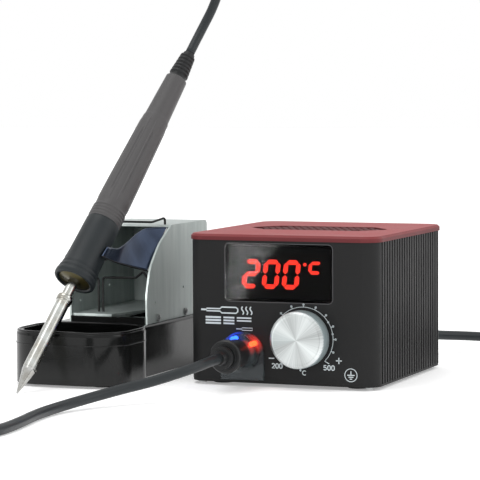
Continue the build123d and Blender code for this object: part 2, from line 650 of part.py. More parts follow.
# ---------------------------------------------------------------- free cords
plug_end = front.from_local_coords(Vector(SOCKET_X, SOCKET_Z, PLUG_OUT))
relief_end = back.from_local_coords(Vector(MAINS_X, MAINS_Z, RELIEF_OUT))
iron_end = iron_line.position + iron_line.direction * IRON_LEN
floor_z = CABLE_R + 0.05
mains_floor_z = MAINS_R + 0.05

run_route = [
    tuple(plug_end), tuple(plug_end + front.z_dir * 11), (22, -94, 17.8), (6.5, -112, 12.2), (-6.5, -128, 9),
    (-18.5, -146, 5.6), (-26, -168, 3.3), (-25.5, -195, floor_z), (-20.5, -222, floor_z),
    (-17.6, -248, floor_z), (-21, -266, floor_z), (-29, -279, floor_z),
]
coil_x, coil_y, coil_r = -62.0, -262.0, 32.0
arch_route = [
    tuple(iron_end), tuple(iron_end + iron_line.direction * 18), (-31, 67, 224), (-24, 64, 243),
    (-22, 52, 262), (-30, 35, 277), (-48, 20, 286), (-72, 8, 288), (-97, -2, 280), (-120, -11, 263),
    (-139, -20, 240), (-151, -30, 213), (-158, -41, 184), (-161, -53, 155), (-161, -66, 126),
    (-158, -80, 98), (-153, -95, 71), (-146, -111, 46), (-137, -129, 25), (-128, -149, 10),
    (-118, -171, floor_z), (-109, -194, floor_z), (-102, -217, 3.6), (-98, -233, 6.4), (-95.5, -247, 8.4),
]
split = arch_route.index((-118, -171, floor_z)) + 1
mains_route = [
    tuple(relief_end), tuple(relief_end + back.z_dir * 12), (75, 147, 14.2), (83, 160.5, 12.1), (94.4, 171.7, 11),
    (106, 181.5, 9.8), (120, 189.5, 8), (136, 193.5, 5.6), (152, 193, 3.8), (166, 188.5, mains_floor_z),
]
mains_coil_x, mains_coil_y, mains_coil_r = 168.0, 148.0, 33.0
MAINS_SPAN_WIDE, MAINS_SPAN_HIGH = 3, 2
tail_x = mains_coil_x + 36.0
tail_route = [(tail_x, 128, 8.0), (tail_x, 112, 8.0)]


def bend_radii(points):
    """The largest tangent arc that the two runs beside each corner allow."""
    radii = []
    for a, b, c in zip(points, points[1:], points[2:]):
        before, after = Vector(*b) - Vector(*a), Vector(*c) - Vector(*b)
        turn = radians(before.get_angle(after))
        radii.append(0.45 * min(before.length, after.length) / tan(turn / 2))
    return radii


def cord_tube(points, radii, radius):
    """A plain round cord along straight runs joined by tangent arcs."""
    with BuildPart() as tube:
        with BuildLine() as path:
            FilletPolyline(*points, radius=radii)
        with BuildSketch(Plane(origin=path.line @ 0, z_dir=path.line % 0)):
            Circle(radius)
        sweep(path=path.line)
    length = path.wire().length
    print(f"cord {length:.1f} mm, volume {tube.part.volume:.0f} of {pi * radius**2 * length:.0f}")
    print("  radii", " ".join(f"{value:.0f}" for value in radii))
    return tube


def coil_ring(x, y, middle, wide, high):
    """The outer shape of a round coil that lies on the bench."""
    with BuildPart() as ring:
        with BuildSketch(Plane(origin=(x, y, 0), x_dir=(1, 0, 0), z_dir=(0, -1, 0))):
            with Locations((middle, high / 2)):
                RectangleRounded(wide, high, min(wide, high) * 0.3)
        revolve(axis=Axis((x, y, 0), (0, 0, 1)))
    return ring


pieces["iron_cable_run"] = cord_tube(run_route, bend_radii(run_route), CABLE_R)
arch_radii = bend_radii(arch_route)
seam = tuple((Vector(*arch_route[split - 1]) + Vector(*arch_route[split])) / 2)
pieces["iron_cable_arch"] = cord_tube(arch_route[:split] + [seam], arch_radii[: split - 1], CABLE_R)
pieces["iron_cable_tail"] = cord_tube([seam] + arch_route[split:], arch_radii[split - 1 :], CABLE_R)
pieces["iron_cable_coil"] = coil_ring(
    coil_x, coil_y, coil_r, 2 * COIL_SPAN * CABLE_R, 2 * COIL_SPAN * CABLE_R
)
pieces["mains_cord_run"] = cord_tube(mains_route, bend_radii(mains_route), MAINS_R)
pieces["mains_cord_coil"] = coil_ring(
    mains_coil_x, mains_coil_y, mains_coil_r, 2 * MAINS_SPAN_WIDE * MAINS_R, 2 * MAINS_SPAN_HIGH * MAINS_R
)
with BuildPart() as mains_cord_tail:
    tail_start, tail_stop = Vector(*tail_route[0]), Vector(*tail_route[1])
    with BuildSketch(Plane(origin=tail_start, z_dir=tail_stop - tail_start)):
        Circle(MAINS_R)
    extrude(amount=(tail_stop - tail_start).length)
pieces["mains_cord_tail"] = mains_cord_tail

PLUG_W, PLUG_H, PLUG_L = 26.0, 16.0, 32.0
plug_y = tail_route[1][1]
with BuildPart() as mains_plug:
    boot = Plane(origin=(tail_x, plug_y, PLUG_H / 2), x_dir=(1, 0, 0), z_dir=(0, -1, 0))
    with BuildSketch(boot):
        Circle(MAINS_R + 1)
    with BuildSketch(boot.offset(16)):
        Circle(MAINS_R + 3)
    loft()
    with BuildSketch(boot.offset(16)):
        RectangleRounded(PLUG_W, PLUG_H, 4)
    extrude(amount=PLUG_L)
pieces["mains_plug"] = mains_plug

with BuildPart() as plug_blades:
    with BuildSketch(boot.offset(16 + PLUG_L)):
        with GridLocations(12.7, 0, 2, 1):
            Rectangle(1.5, 6.3)
    extrude(amount=17)
pieces["plug_blades"] = plug_blades

# ---------------------------------------------------------------- files
os.makedirs("parts", exist_ok=True)
for name, piece in pieces.items():
    piece.part.label = name
    export_step(piece.part, f"parts/{name}.step")
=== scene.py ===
"""Soldering iron station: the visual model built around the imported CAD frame.

Lengths are in metres.  A place on the station's front panel is (x, z) in millimetres from the case's
lower left corner on the bench, and a place on the stand is (x, y, z) in millimetres from the same corner.
"""

import json
from math import cos, pi, radians, sin

import bpy
import numpy as np
from mathutils import Matrix, Vector


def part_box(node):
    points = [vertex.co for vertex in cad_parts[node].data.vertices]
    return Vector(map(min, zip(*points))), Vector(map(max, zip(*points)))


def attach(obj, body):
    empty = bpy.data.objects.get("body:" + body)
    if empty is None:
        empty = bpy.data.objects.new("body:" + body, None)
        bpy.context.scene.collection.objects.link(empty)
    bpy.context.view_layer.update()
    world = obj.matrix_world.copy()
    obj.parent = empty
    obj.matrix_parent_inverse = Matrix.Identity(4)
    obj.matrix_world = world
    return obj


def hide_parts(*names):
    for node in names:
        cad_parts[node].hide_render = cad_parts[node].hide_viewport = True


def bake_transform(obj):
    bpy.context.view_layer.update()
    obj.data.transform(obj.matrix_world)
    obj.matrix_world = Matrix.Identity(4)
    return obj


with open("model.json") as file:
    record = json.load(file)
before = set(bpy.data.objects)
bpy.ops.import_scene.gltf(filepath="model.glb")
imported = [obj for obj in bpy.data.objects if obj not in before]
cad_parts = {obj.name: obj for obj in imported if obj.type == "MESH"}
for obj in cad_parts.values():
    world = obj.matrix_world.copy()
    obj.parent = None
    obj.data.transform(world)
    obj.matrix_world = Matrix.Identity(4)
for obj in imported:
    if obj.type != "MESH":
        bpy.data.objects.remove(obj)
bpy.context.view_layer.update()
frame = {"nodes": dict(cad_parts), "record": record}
NODES = frame["nodes"]
MM = 0.001
WALL_LEFT, WALL_RIGHT = -84.2, -33.0  # the bracket's two walls
SHEET = 1.2  # and how thick they are
TIP = (-73.6, -74.8, 0.35)  # the iron's tip, and the way from it up along the iron
IRON_WAY = np.array([0.16566, 0.61823, 0.76828])
CASE_LOW, CASE_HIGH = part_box("case_shell")
LID_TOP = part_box("top_lid")[1].z
CORNER = np.array([CASE_LOW.x, CASE_LOW.y, 0.0])
STATION, IRON, KNOB = "station", "iron", "knob"


def at(x, y, z=0.0):
    """A place in metres, from millimetres measured at the case's front left corner on the bench."""
    return CORNER + np.array([x, y, z]) * MM


# ---------------------------------------------------------------- camera, light and floor
CAMERA_TURN = (-22.09, -3.94, -0.36)
CAMERA_PLACE = (0.5454, -1.31515, 0.1803)
CAMERA_LENS = 180.7


def place_camera():
    """The camera: yaw, pitch and roll in degrees turn it from looking along +Y."""
    yaw, pitch, roll = (radians(angle) for angle in CAMERA_TURN)
    look = Vector((sin(yaw) * cos(pitch), cos(yaw) * cos(pitch), sin(pitch)))
    right = Vector((cos(yaw), -sin(yaw), 0))
    up = right.cross(look)
    turned_right = right * cos(roll) + up * sin(roll)
    turned_up = up * cos(roll) - right * sin(roll)
    data = bpy.data.cameras.new("camera")
    data.sensor_width = 36.0
    data.lens = CAMERA_LENS
    data.clip_start, data.clip_end = 0.05, 50.0
    camera = bpy.data.objects.new("camera", data)
    turn = Matrix((turned_right, turned_up, -look)).transposed().to_4x4()
    camera.matrix_world = Matrix.Translation(CAMERA_PLACE) @ turn
    bpy.context.scene.collection.objects.link(camera)
    bpy.context.scene.camera = camera


def soft_lamp(name, place, target, size, power, tint=(1.0, 1.0, 1.0)):
    """A square soft lamp that looks from one place at another."""
    data = bpy.data.lights.new(name, "AREA")
    data.size = size
    data.energy = power
    data.color = tint
    lamp = bpy.data.objects.new(name, data)
    aim = (Vector(target) - Vector(place)).to_track_quat("-Z", "Y")
    lamp.matrix_world = Matrix.Translation(place) @ aim.to_matrix().to_4x4()
    bpy.context.scene.collection.objects.link(lamp)
    return lamp


def studio():
    """A pale floor that runs to the back, a plain bright surround and two soft lamps."""
    mesh = bpy.data.meshes.new("floor")
    reach = 6.0
    mesh.from_pydata([(-reach, -reach, 0), (reach, -reach, 0), (reach, reach, 0), (-reach, reach, 0)],
        [], [(0, 1, 2, 3)])
    floor = bpy.data.objects.new("floor", mesh)
    bpy.context.scene.collection.objects.link(floor)
    mesh.materials.append(finish("floor_pale", (0.93, 0.93, 0.93), rough=0.9, coat=0.0,
        glow=(1.0, 1.0, 1.0, 0.3)))
    world = bpy.data.worlds.new("surround")
    bpy.context.scene.world = world
    world.use_nodes = True
    sky = world.node_tree.nodes["Background"]
    sky.inputs["Color"].default_value = (1.0, 1.0, 1.0, 1.0)
    sky.inputs["Strength"].default_value = 1.0
    bpy.context.scene.view_settings.view_transform = "Standard"
    soft_lamp("top_lamp", (-0.35, -0.35, 1.7), (0, 0, 0.05), 1.0, 7.0)
    soft_lamp("right_lamp", (1.4, 0.1, 0.9), (0, 0, 0.05), 0.7, 2.5)


def stand_light():
    """A soft lamp that only the stand's bracket and two of its wires see, to light the bracket's inside."""
    lamp = soft_lamp("stand_lamp", (-0.20, -0.85, 0.30), tuple(at(-52, 90, 55)), 0.25, 9.0)
    seen = bpy.data.collections.new("bracket_only")
    for name in ("stand_bracket", "front_wire", "rear_wire"):
        seen.objects.link(NODES[name])
    lamp.light_linking.receiver_collection = seen


def window_gloss():
    """A small slanted soft lamp that only the display window sees, for a pale reflection over its left part.
    A panel point p is mirrored to p + (p - camera) D / H, on a plane D in front of the panel; the camera
    is H in front of the panel."""
    camera, reach, distance = np.array([554.8, 180.3]), 450.0, 1285.1
    top, foot = (np.array(p) + (np.array(p) - camera) * reach / distance for p in ((55.6, 84.2),
        (33.2, 49.5)))
    along = (top - foot) / np.linalg.norm(top - foot)
    left = np.array([-along[1], along[0]])
    middle = (top + foot) / 2 + left * 60
    data = bpy.data.lights.new("window_lamp", "AREA")
    data.shape = "RECTANGLE"
    data.size, data.size_y = 0.12, 0.16
    data.energy = 3.2
    lamp = bpy.data.objects.new("window_lamp", data)
    axis_y = Vector((along[0], 0, along[1]))
    axis_x = Vector((-left[0], 0, -left[1]))
    turn = Matrix((axis_x, axis_y, axis_x.cross(axis_y))).transposed().to_4x4()
    lamp.matrix_world = Matrix.Translation(at(middle[0], -reach, middle[1])) @ turn
    bpy.context.scene.collection.objects.link(lamp)
    seen = bpy.data.collections.new("window_only")
    seen.objects.link(NODES["display_window"])
    lamp.light_linking.receiver_collection = seen


# ---------------------------------------------------------------- finishes
MADE = {}


def finish(
    name, colour, rough=0.5, metal=0.0, grain=0.0, grain_size=900.0, mottle=0.0, mottle_size=60.0,
    stretch=(1.0, 1.0, 1.0), coat=0.15, alpha=1.0, clear=0.0, glow=None, second=None,
    spread=0.12, wear=0.0, spec=0.5, side=None,
):
    """A procedural finish on Object coordinates.  mottle blends colour towards second by a slow noise, spread
    moves the roughness with it, grain is the height of a fine bump, wear lightens sharp edges, and
    side is a painted shade: the darker colour of what doesn't face up, where less light falls."""
    if name in MADE:
        return MADE[name]
    made = MADE[name] = bpy.data.materials.new(name)
    made.use_nodes = True
    tree = made.node_tree
    shade = tree.nodes["Principled BSDF"]
    shade.inputs["Metallic"].default_value = metal
    shade.inputs["Coat Weight"].default_value = coat
    shade.inputs["Coat Roughness"].default_value = 0.25
    shade.inputs["Alpha"].default_value = alpha
    shade.inputs["Specular IOR Level"].default_value = spec
    shade.inputs["Transmission Weight"].default_value = clear
    where = tree.nodes.new("ShaderNodeTexCoord")
    stretched = tree.nodes.new("ShaderNodeMapping")
    stretched.inputs["Scale"].default_value = stretch
    tree.links.new(where.outputs["Object"], stretched.inputs["Vector"])
    slow = tree.nodes.new("ShaderNodeTexNoise")
    slow.inputs["Scale"].default_value = mottle_size
    slow.inputs["Detail"].default_value = 5.0
    tree.links.new(stretched.outputs["Vector"], slow.inputs["Vector"])
    ramp = tree.nodes.new("ShaderNodeValToRGB")
    other = second or tuple(part * (1.0 - 0.35 * mottle) for part in colour)
    ramp.color_ramp.elements[0].color = (*other, 1.0)
    ramp.color_ramp.elements[1].color = (*colour, 1.0)
    ramp.color_ramp.elements[0].position = 0.32
    ramp.color_ramp.elements[1].position = 0.68
    tree.links.new(slow.outputs["Fac"], ramp.inputs["Fac"])
    painted = ramp.outputs["Color"]
    # Painted shade: faces that don't face up get the darker side colour, as if less light falls on them.
    if side:
        facing = tree.nodes.new("ShaderNodeSeparateXYZ")
        tree.links.new(where.outputs["Normal"], facing.inputs["Vector"])
        upward = tree.nodes.new("ShaderNodeMapRange")
        upward.inputs["From Min"].default_value = 0.6
        upward.inputs["From Max"].default_value = 0.95
        tree.links.new(facing.outputs["Z"], upward.inputs["Value"])
        painted_shade_flank = tree.nodes.new("ShaderNodeMix")
        painted_shade_flank.data_type = "RGBA"
        painted_shade_flank.inputs["A"].default_value = (*side, 1.0)
        tree.links.new(painted, painted_shade_flank.inputs["B"])
        tree.links.new(upward.outputs["Result"], painted_shade_flank.inputs["Factor"])
        painted = painted_shade_flank.outputs["Result"]
    if wear:
        shape = tree.nodes.new("ShaderNodeNewGeometry")
        edge = tree.nodes.new("ShaderNodeMapRange")
        edge.inputs["From Min"].default_value = 0.52
        edge.inputs["From Max"].default_value = 0.62
        edge.inputs["To Max"].default_value = wear
        tree.links.new(shape.outputs["Pointiness"], edge.inputs["Value"])
        lighter = tree.nodes.new("ShaderNodeMix")
        lighter.data_type = "RGBA"
        lighter.inputs["B"].default_value = (*(min(1.0, 1.6 * part + 0.05) for part in colour), 1.0)
        tree.links.new(painted, lighter.inputs["A"])
        tree.links.new(edge.outputs["Result"], lighter.inputs["Factor"])
        painted = lighter.outputs["Result"]
    tree.links.new(painted, shade.inputs["Base Color"])
    vary = tree.nodes.new("ShaderNodeMapRange")
    vary.inputs["To Min"].default_value = max(0.03, rough - spread)
    vary.inputs["To Max"].default_value = min(1.0, rough + spread)
    tree.links.new(slow.outputs["Fac"], vary.inputs["Value"])
    tree.links.new(vary.outputs["Result"], shade.inputs["Roughness"])
    if grain:
        fine = tree.nodes.new("ShaderNodeTexNoise")
        fine.inputs["Scale"].default_value = grain_size
        fine.inputs["Detail"].default_value = 3.0
        tree.links.new(stretched.outputs["Vector"], fine.inputs["Vector"])
        bump = tree.nodes.new("ShaderNodeBump")
        bump.inputs["Strength"].default_value = min(1.0, grain)
        bump.inputs["Distance"].default_value = 0.0004
        tree.links.new(fine.outputs["Fac"], bump.inputs["Height"])
        tree.links.new(bump.outputs["Normal"], shade.inputs["Normal"])
    if alpha < 1.0:
        made.surface_render_method = "BLENDED"
    if glow:
        shade.inputs["Emission Color"].default_value = (*glow[:3], 1.0)
        shade.inputs["Emission Strength"].default_value = glow[3]
    return made


FINISHES = {
    "case_black": dict(colour=(0.0065, 0.0065, 0.0068), rough=0.5, grain=0.25, grain_size=2600,
        mottle=0.5, mottle_size=35, coat=0.0,
                       spec=0.22, wear=0.1),
    # lid_red's side colour is painted shade: the lid's vertical lip is darker than its top.
    "lid_red": dict(colour=(0.33, 0.05, 0.053), side=(0.12, 0.015, 0.018), rough=0.55, grain=0.25,
        grain_size=2400, mottle=0.25, mottle_size=30, coat=0.0, spec=0.3, wear=0.1),
    "screw_steel": dict(colour=(0.45, 0.46, 0.46), rough=0.32, metal=1.0, grain=0.1, mottle=0.5,
        mottle_size=400),
    "foot_rubber": dict(colour=(0.012, 0.012, 0.012), rough=0.75, grain=0.4, mottle=0.5, coat=0.0, spec=0.2),
    "window_tint": dict(colour=(0.002, 0.002, 0.002), rough=0.05, coat=0.0, spread=0.01, alpha=0.18,
        spec=0.08),
    "digit_red": dict(colour=(0.9, 0.03, 0.01), rough=0.4, glow=(1.0, 0.02, 0.006, 1.5), spread=0.02),
    "module_black": dict(colour=(0.003, 0.003, 0.003), rough=0.6, mottle=0.4, coat=0.0, spec=0.05),
    "board_green": dict(colour=(0.015, 0.13, 0.05), rough=0.35, grain=0.3, mottle=0.6, mottle_size=220),
    "knob_aluminium": dict(colour=(0.62, 0.66, 0.66), rough=0.3, metal=1.0, grain=0.08, mottle=0.15),
    "clear_plastic": dict(colour=(0.75, 0.82, 0.86), rough=0.06, coat=0.5, spread=0.03, alpha=0.16),
    "lamp_blue": dict(colour=(0.02, 0.08, 0.9), rough=0.2, glow=(0.02, 0.12, 1.0, 9.0), spread=0.05),
    "lamp_red": dict(colour=(0.9, 0.04, 0.01), rough=0.2, glow=(1.0, 0.07, 0.01, 9.0), spread=0.05),
    "black_plastic": dict(colour=(0.009, 0.0098, 0.0105), rough=0.38, grain=0.2, grain_size=1600,
        mottle=0.5, coat=0.1, spec=0.35, wear=0.15),
    "copper_wire": dict(colour=(0.62, 0.25, 0.1), rough=0.35, metal=0.9, grain=0.8, grain_size=500,
        stretch=(1, 1, 8)),
    "core_steel": dict(colour=(0.12, 0.12, 0.13), rough=0.5, metal=0.8, grain=0.7, grain_size=700,
        stretch=(1, 8, 1)),
    "heat_aluminium": dict(colour=(0.6, 0.61, 0.62), rough=0.42, metal=1.0, grain=0.3, mottle=0.3),
    "capacitor_sleeve": dict(colour=(0.012, 0.016, 0.05), rough=0.22, mottle=0.3),
    "tip_chrome": dict(colour=(0.60, 0.61, 0.60), rough=0.2, metal=1.0, grain=0.06, mottle=0.35,
        mottle_size=160, second=(0.36, 0.35, 0.32)),
    "barrel_steel": dict(colour=(0.58, 0.60, 0.58), rough=0.18, metal=1.0, grain=0.06, mottle=0.3,
        mottle_size=140, second=(0.40, 0.385, 0.34)),
    "ceramic_white": dict(colour=(0.60, 0.66, 0.68), rough=0.5, grain=0.2, mottle=0.15, coat=0.0),
    "collar_rubber": dict(colour=(0.010, 0.0145, 0.017), rough=0.5, grain=0.35, grain_size=1500,
        mottle=0.6, mottle_size=70, coat=0.05,
                          spec=0.35, wear=0.15),
    "handle_grey": dict(colour=(0.072, 0.069, 0.070), rough=0.5, grain=0.3, grain_size=1700,
        mottle=0.25, mottle_size=90, coat=0.0,
                        spec=0.4, wear=0.25),
    "boot_black": dict(colour=(0.008, 0.0085, 0.0095), rough=0.48, grain=0.3, mottle=0.4, coat=0.05,
        spec=0.35),
    "base_black": dict(colour=(0.004, 0.0044, 0.0042), rough=0.15, grain=0.05, grain_size=300,
        mottle=0.4, coat=0.05, spec=0.25, wear=0.2),
    "galvanised": dict(colour=(0.36, 0.40, 0.385), rough=0.42, metal=0.4, grain=0.22, grain_size=420,
        mottle=1.0, mottle_size=55,
                       stretch=(3.0, 3.0, 0.35), second=(0.20, 0.235, 0.23), coat=0.0, wear=0.3),
    # cradle_steel is partly the sheet's bluish tint and partly painted reflection: its dark blue and slow
    # darker bands copy what the polished sheet reflects.
    "cradle_steel": dict(colour=(0.065, 0.09, 0.15), rough=0.22, metal=0.75, grain=0.05, mottle=1.0,
        mottle_size=26,
                         stretch=(2.5, 2.5, 0.5), second=(0.025, 0.035, 0.06), coat=0.0),
    "wire_black": dict(colour=(0.008, 0.008, 0.008), rough=0.32, metal=0.3, grain=0.2, mottle=0.4, spec=0.3),
    "cable_black": dict(colour=(0.013, 0.0175, 0.020), rough=0.42, grain=0.2, grain_size=1200,
        mottle=0.5, mottle_size=90, coat=0.08, spec=0.35),
    "blade_brass": dict(colour=(0.72, 0.55, 0.25), rough=0.25, metal=1.0, grain=0.1, mottle=0.4),
}


def slot_finish(slot):
    """The finish that belongs to one of the record's material slots."""
    return finish(slot, **FINISHES[slot])


def dress_nodes():
    """Every CAD node gets the finish of its slot in place of its plain colour."""
    for part in frame["record"]["subparts"]:
        mesh = NODES[part["node"]].data
        mesh.materials.clear()
        mesh.materials.append(slot_finish(part["material_slot"]))
    NODES["display_board"].data.materials[0] = slot_finish("module_black")


# ---------------------------------------------------------------- surfaces
def new_piece(name, points, faces, slot, body, smooth=True):
    """A mesh from points and faces, in place, with its finish and its body."""
    mesh = bpy.data.meshes.new(name)
    mesh.from_pydata(np.asarray(points, float).tolist(), [], [list(map(int, face)) for face in faces])
    mesh.validate()
    mesh.polygons.foreach_set("use_smooth", [smooth] * len(mesh.polygons))
    mesh.materials.append(slot_finish(slot))
    piece = bpy.data.objects.new(name, mesh)
    bpy.context.scene.collection.objects.link(piece)
    if body:
        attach(piece, body)
    return piece


def grid_faces(rows, columns, wrap=True, caps=True):
    """Faces of a rows by columns grid of points; wrap closes the columns, caps close its two ends."""
    row, column = np.meshgrid(np.arange(rows - 1), np.arange(columns if wrap else columns - 1), indexing="ij")
    near = row * columns + column
    side = row * columns + (column + 1) % columns
    faces = np.stack([near, side, side + columns, near + columns], axis=-1).reshape(-1, 4).tolist()
    if wrap and caps:
        faces.append(list(range(columns))[::-1])
        faces.append(list(range((rows - 1) * columns, rows * columns)))
    return faces


def across(direction):
    """Two unit vectors across a direction; with it they make a right-handed set."""
    direction = np.asarray(direction, float) / np.linalg.norm(direction)
    side = np.cross(direction, (0, 0, 1) if abs(direction[2]) < 0.99 else (1, 0, 0))
    side /= np.linalg.norm(side)
    return direction, side, np.cross(direction, side)


def turned(name, origin, direction, outline, slot, body, sides=96, radius_at=None):
    """A turned piece: point = origin + along d + r (cos a s + sin a t), where the outline lists (along, r)
    in millimetres and radius_at(along, a, r) may shape r round the axis."""
    direction, side, up = across(direction)
    along, radius = (np.array(part, float) for part in zip(*outline))
    angle = np.linspace(0, 2 * pi, sides, endpoint=False)
    along, turn = np.meshgrid(along, angle, indexing="ij")
    radius = np.repeat(radius[:, None], sides, axis=1)
    if radius_at:
        radius = radius_at(along, turn, radius)
    spoke = np.cos(turn)[..., None] * side + np.sin(turn)[..., None] * up
    points = np.asarray(origin) + along[..., None] * MM * direction + radius[..., None] * MM * spoke
    return new_piece(name, points.reshape(-1, 3), grid_faces(len(outline), sides), slot, body)


def frames_along(path):
    """Unit tangents and two cross vectors at each point of a path, carried along it without twist."""
    tangent = np.gradient(path, axis=0)
    tangent /= np.linalg.norm(tangent, axis=1)[:, None]
    normal = np.zeros_like(path)
    normal[0] = across(tangent[0])[1]
    for i in range(1, len(path)):
        carried = normal[i - 1] - tangent[i] * np.dot(normal[i - 1], tangent[i])
        normal[i] = carried / np.linalg.norm(carried)
    return tangent, normal, np.cross(tangent, normal)


def tube(name, path, radius, slot, body, sides=20):
    """A round tube: point = path + r (cos a n + sin a b), with n and b carried along the path."""
    path = np.asarray(path, float)
    normal, binormal = frames_along(path)[1:]
    radius = np.broadcast_to(np.asarray(radius, float), (len(path),))
    angle = np.linspace(0, 2 * pi, sides, endpoint=False)
    ring = np.cos(angle)[None, :, None] * normal[:, None] + np.sin(angle)[None, :, None] * binormal[:, None]
    points = path[:, None] + radius[:, None, None] * ring
    return new_piece(name, points.reshape(-1, 3), grid_faces(len(path), sides), slot, body)


def smooth_line(points, resolution=10):
    """Points read from the NURBS spline whose control points these are."""
    data = bpy.data.curves.new("guide", "CURVE")
    data.dimensions = "3D"
    spline = data.splines.new("NURBS")
    spline.points.add(len(points) - 1)
    spline.points.foreach_set("co", np.c_[np.asarray(points, float), np.ones(len(points))].ravel())
    spline.order_u = 3
    spline.use_endpoint_u = True
    spline.resolution_u = resolution
    guide = bpy.data.objects.new("guide", data)
    bpy.context.scene.collection.objects.link(guide)
    bpy.context.view_layer.update()
    mesh = bpy.data.meshes.new_from_object(guide.evaluated_get(bpy.context.evaluated_depsgraph_get()))
    line = np.zeros(len(mesh.vertices) * 3)
    mesh.vertices.foreach_get("co", line)
    bpy.data.objects.remove(guide)
    bpy.data.meshes.remove(mesh)
    return line.reshape(-1, 3)


# ---------------------------------------------------------------- cords
CABLE_R, MAINS_R = 2.9, 3.0
CABLE_FLOOR, MAINS_FLOOR = 2.95, 3.05
TURN_POINTS = 14


def coil_points(centre, first_angle, start, stop, radius_at, height_at):
    """Control points of clockwise turns: (centre + r (cos a, sin a), z), a = first angle - one turn x t."""
    count = round((stop - start) * TURN_POINTS) + 1
    t = np.linspace(start, stop, count)
    angle = radians(first_angle) - 2 * pi * t
    r = radius_at(t)
    return np.c_[centre[0] + r * np.cos(angle), centre[1] + r * np.sin(angle), height_at(t)]


def iron_cable():
    """The iron's cable: from its plug round to a small put-away coil, then up and over to the iron's end."""
    run = [
        (25.4, -68.05, 20), (25.4, -79.05, 20), (22, -94, 17.8), (6.5, -112, 12.2), (-6.5, -128,
            9), (-18.5, -146, 5.6),
        (-26, -168, 3.3), (-25.5, -195, CABLE_FLOOR), (-20.5, -222, CABLE_FLOOR), (-17.6, -248, CABLE_FLOOR),
        (-21, -266, CABLE_FLOOR), (-29, -279, CABLE_FLOOR),
    ]
    climb = lambda t: CABLE_FLOOR + 2 * CABLE_R * np.clip((t - 1.04) / 0.26, 0,
        1) - 0.4 * np.clip((t - 2.3) / 0.2, 0, 1)
    winding = lambda t: np.where(t < 1.3, 36.2 - 6.0 * t, 28.4 + 7.4 * (t - 1.3))
    turns = coil_points((-62, -262), -27.0, 0.07, 2.42, winding, climb)
    rise = [
        (-95.5, -247, 8.4), (-98, -233, 6.4), (-102, -217, 3.6), (-109, -194, CABLE_FLOOR), (-118, -171,
            CABLE_FLOOR),
        (-128, -149, 10), (-137, -129, 25), (-146, -111, 46), (-153, -95, 71), (-158, -80, 98), (-161,
            -66, 126),
        (-161, -53, 155), (-158, -41, 184), (-151, -30, 213), (-139, -20, 240), (-120, -11, 263), (-97,
            -2, 280),
        (-72, 8, 288), (-48, 20, 286), (-30, 35, 277), (-22, 52, 262), (-24, 64, 243), (-31, 67, 224),
    ]
    end = IRON_TIP / MM + 250 * IRON_WAY
    route = np.vstack([run, turns, rise, end + 18 * IRON_WAY, end]) * MM
    path = smooth_line(route)
    cable = tube("iron_cable", path, CABLE_R * MM, "cable_black", None)
    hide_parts("iron_cable_run", "iron_cable_coil", "iron_cable_tail", "iron_cable_arch")
    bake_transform(cable)
    return cable


def mains_cord():
    """The mains cord: from its strain relief along the bench to a flat coil with the plug beside it."""
    run = [
        (72.1, 119.95, 16), (72.1, 131.95, 16), (75, 147, 14.2), (83, 160.5, 12.1), (94.4, 171.7,
            11), (106, 181.5, 9.8),
        (120, 189.5, 8), (136, 193.5, 5.6), (152, 193, 3.8), (166, 188.5, MAINS_FLOOR),
    ]
    winding = lambda t: 24.6 + 5.95 * np.abs(t - 2.67)
    climb = lambda t: MAINS_FLOOR + 2 * MAINS_R * np.clip((t - 2.45) / 0.3, 0,
        1) - 0.9 * np.clip((t - 5.1) / 0.2, 0, 1)
    turns = coil_points((168, 148), 93.0, 0.08, 5.3, winding, climb)
    tail = [(204.0, 128, 8.0), (204.0, 112, 8.0)]
    route = np.vstack([run, turns, tail]) * MM
    path = smooth_line(route)
    cord = tube("mains_cord", path, MAINS_R * MM, "cable_black", STATION)
    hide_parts("mains_cord_run", "mains_cord_coil", "mains_cord_tail")
    return cord


# ---------------------------------------------------------------- front panel prints
PRINT_T = 0.08
KNOB_SPOT = (72.0, 29.0)


def arc(centre, radius, first, last, steps=14):
    """Points of an arc, (cx + r cos a, cz + r sin a), with a in degrees anticlockwise from +x."""
    angle = np.radians(np.linspace(first, last, steps))
    return np.c_[centre[0] + radius * np.cos(angle), centre[1] + radius * np.sin(angle)]


def ribbon(points, width, out=0.0, thick=PRINT_T, closed=False):
    """A raised line on the front panel: each point gets p - w n and p + w n at two heights, n across it."""
    points = np.asarray(points, float)
    if closed:
        points = np.vstack([points, points[:1]])
    step = np.gradient(points, axis=0)
    if closed:
        step[0] = step[-1] = points[1] - points[-2]
    across_line = np.c_[-step[:, 1], step[:, 0]] / np.linalg.norm(step, axis=1)[:, None] * width / 2
    left, right = points + across_line, points - across_line
    layers = [(left, out), (right, out), (right, out + thick), (left, out + thick)]
    ring = np.stack([np.c_[flat[:, 0], np.full(len(flat), -height), flat[:, 1]] for flat,
        height in layers], axis=1)
    return CORNER + ring.reshape(-1, 3) * MM, grid_faces(len(points), 4)


def merged(name, parts, slot, body, smooth=False):
    """One piece from several (points, faces) pairs."""
    points, faces, count = [], [], 0
    for some, links in parts:
        points.append(np.asarray(some).reshape(-1, 3))
        faces += [[corner + count for corner in face] for face in links]
        count += len(points[-1])
    return new_piece(name, np.vstack(points), faces, slot, body, smooth)


